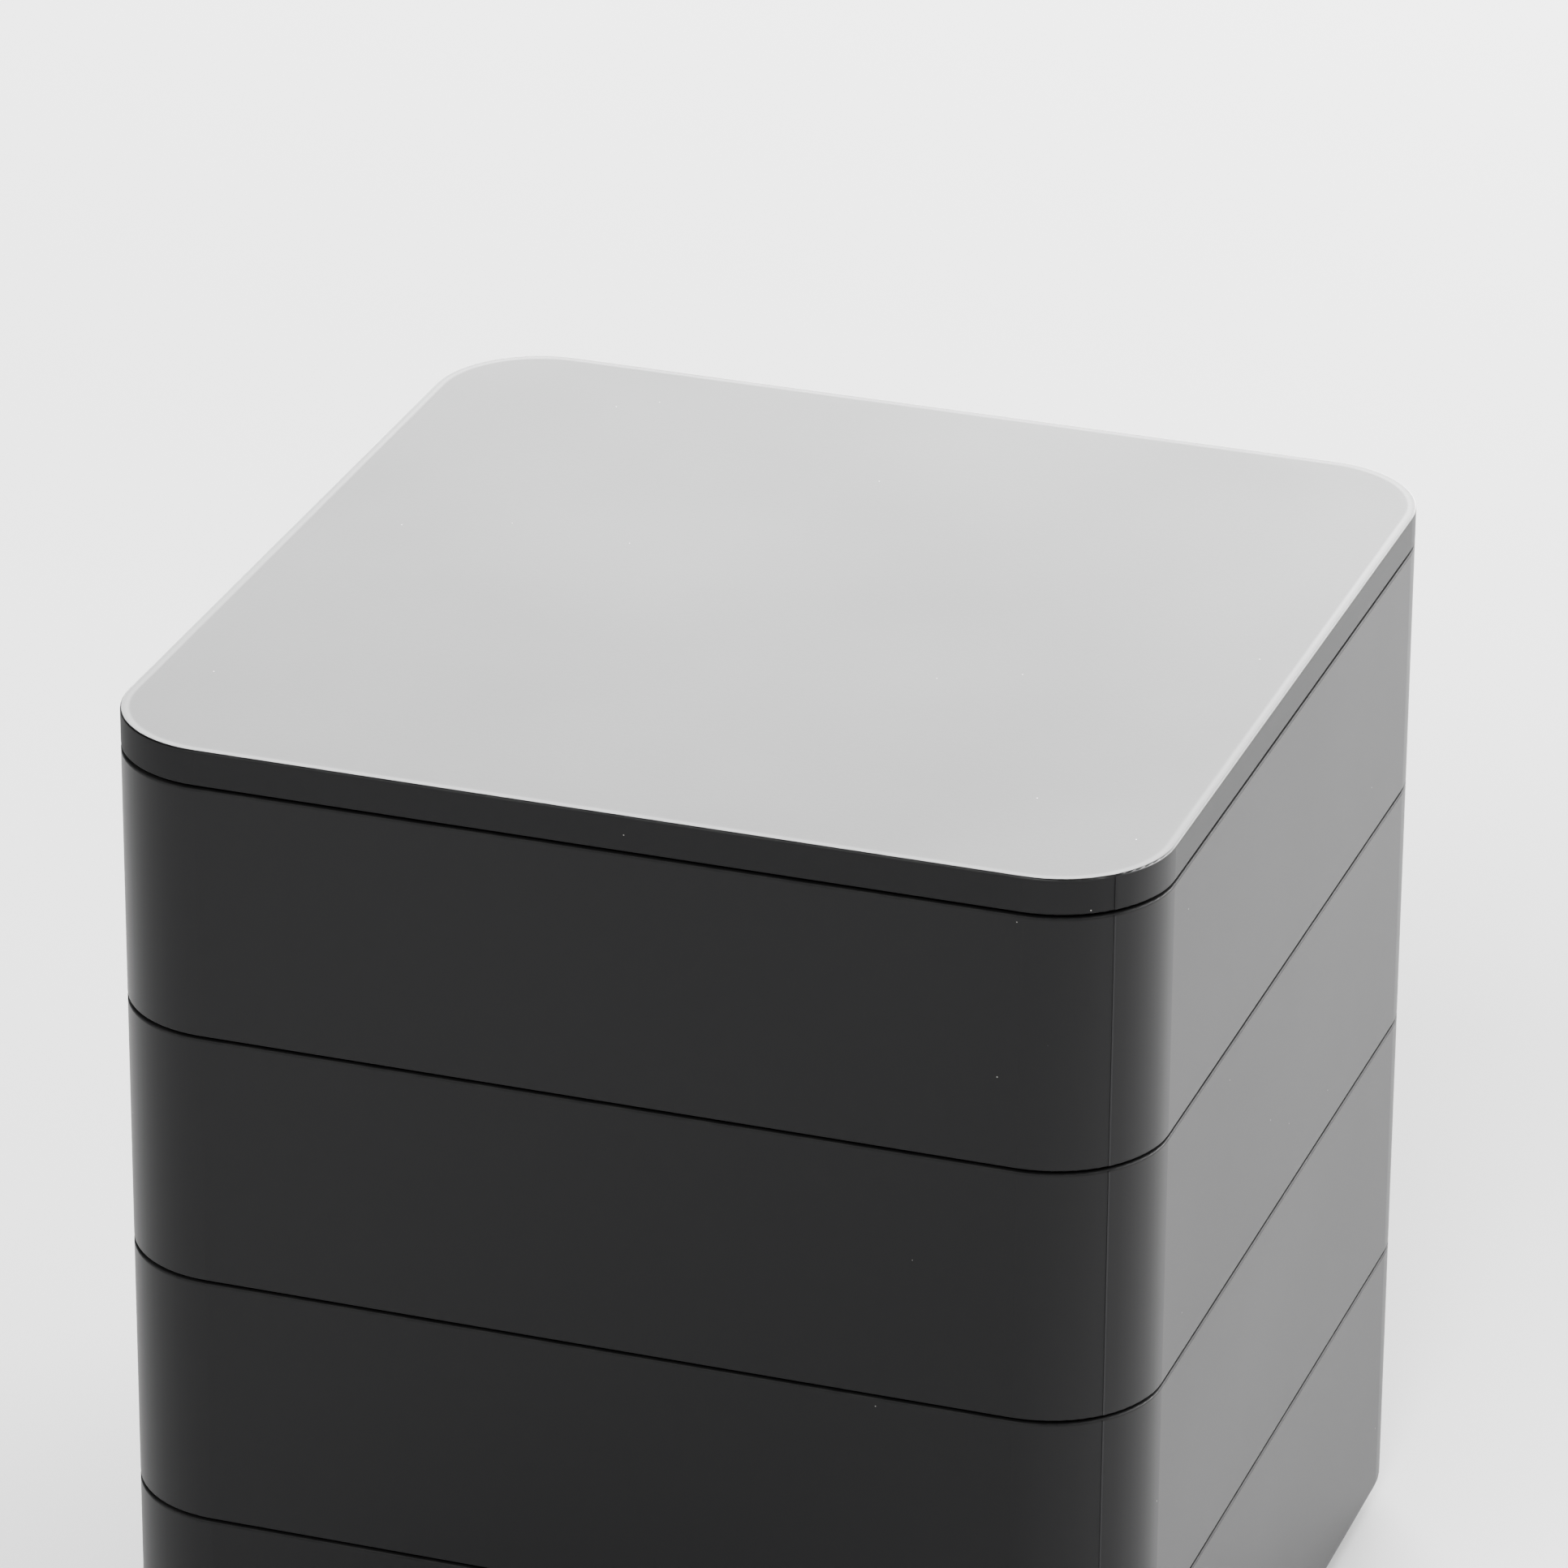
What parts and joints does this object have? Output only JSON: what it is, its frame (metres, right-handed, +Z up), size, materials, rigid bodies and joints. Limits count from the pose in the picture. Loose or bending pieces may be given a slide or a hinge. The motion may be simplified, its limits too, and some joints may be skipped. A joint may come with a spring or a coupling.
{
  "type": "swivel tray box",
  "caption": "Square desk box with rounded corners: shallow stacked trays under a thin flat lid, each swivelling about one corner shaft.",
  "frame": {"origin": "centre of the footprint, on the surface that the feet stand on", "axes": "+Z up; -Y is the front; the pivot shaft stands in the back right corner, towards +X and +Y"},
  "size_m": [0.12, 0.12, 0.1299],
  "materials": {
    "shell": "satin, finely eroded texture",
    "brass": "turned and knurled",
    "steel": "turned, bright zinc plated",
    "spring_steel": "phosphated and oiled",
    "acetal": "machined, natural white",
    "foot_rubber": "matt moulded"
  },
  "bodies": {
    "base": {"base_tray": "shell", "foot_front_left": "foot_rubber", "foot_front_right": "foot_rubber", "foot_back_left": "foot_rubber", "foot_back_right": "foot_rubber", "head_washer": "acetal", "thrust_washer_4": "acetal"},
    "tray_3": {"tray_3": "shell", "thrust_washer_3": "acetal"},
    "tray_2": {"tray_2": "shell", "thrust_washer_2": "acetal"},
    "tray_1": {"tray_1": "shell", "thrust_washer_1": "acetal"},
    "lid": {"lid": "shell", "lid_insert": "brass", "pivot_bolt": "steel", "disc_spring": "spring_steel"}
  },
  "joints": [
    {"name": "lid_swivel", "type": "hinge", "parent": "base", "child": "lid", "pos_m": [0.047, 0.047, 0], "axis": [0, 0, 1], "continuous": true},
    {"name": "tray_1_swivel", "type": "hinge", "parent": "base", "child": "tray_1", "pos_m": [0.047, 0.047, 0], "axis": [0, 0, 1], "continuous": true},
    {"name": "tray_2_swivel", "type": "hinge", "parent": "base", "child": "tray_2", "pos_m": [0.047, 0.047, 0], "axis": [0, 0, 1], "continuous": true},
    {"name": "tray_3_swivel", "type": "hinge", "parent": "base", "child": "tray_3", "pos_m": [0.047, 0.047, 0], "axis": [0, 0, 1], "continuous": true}
  ]
}
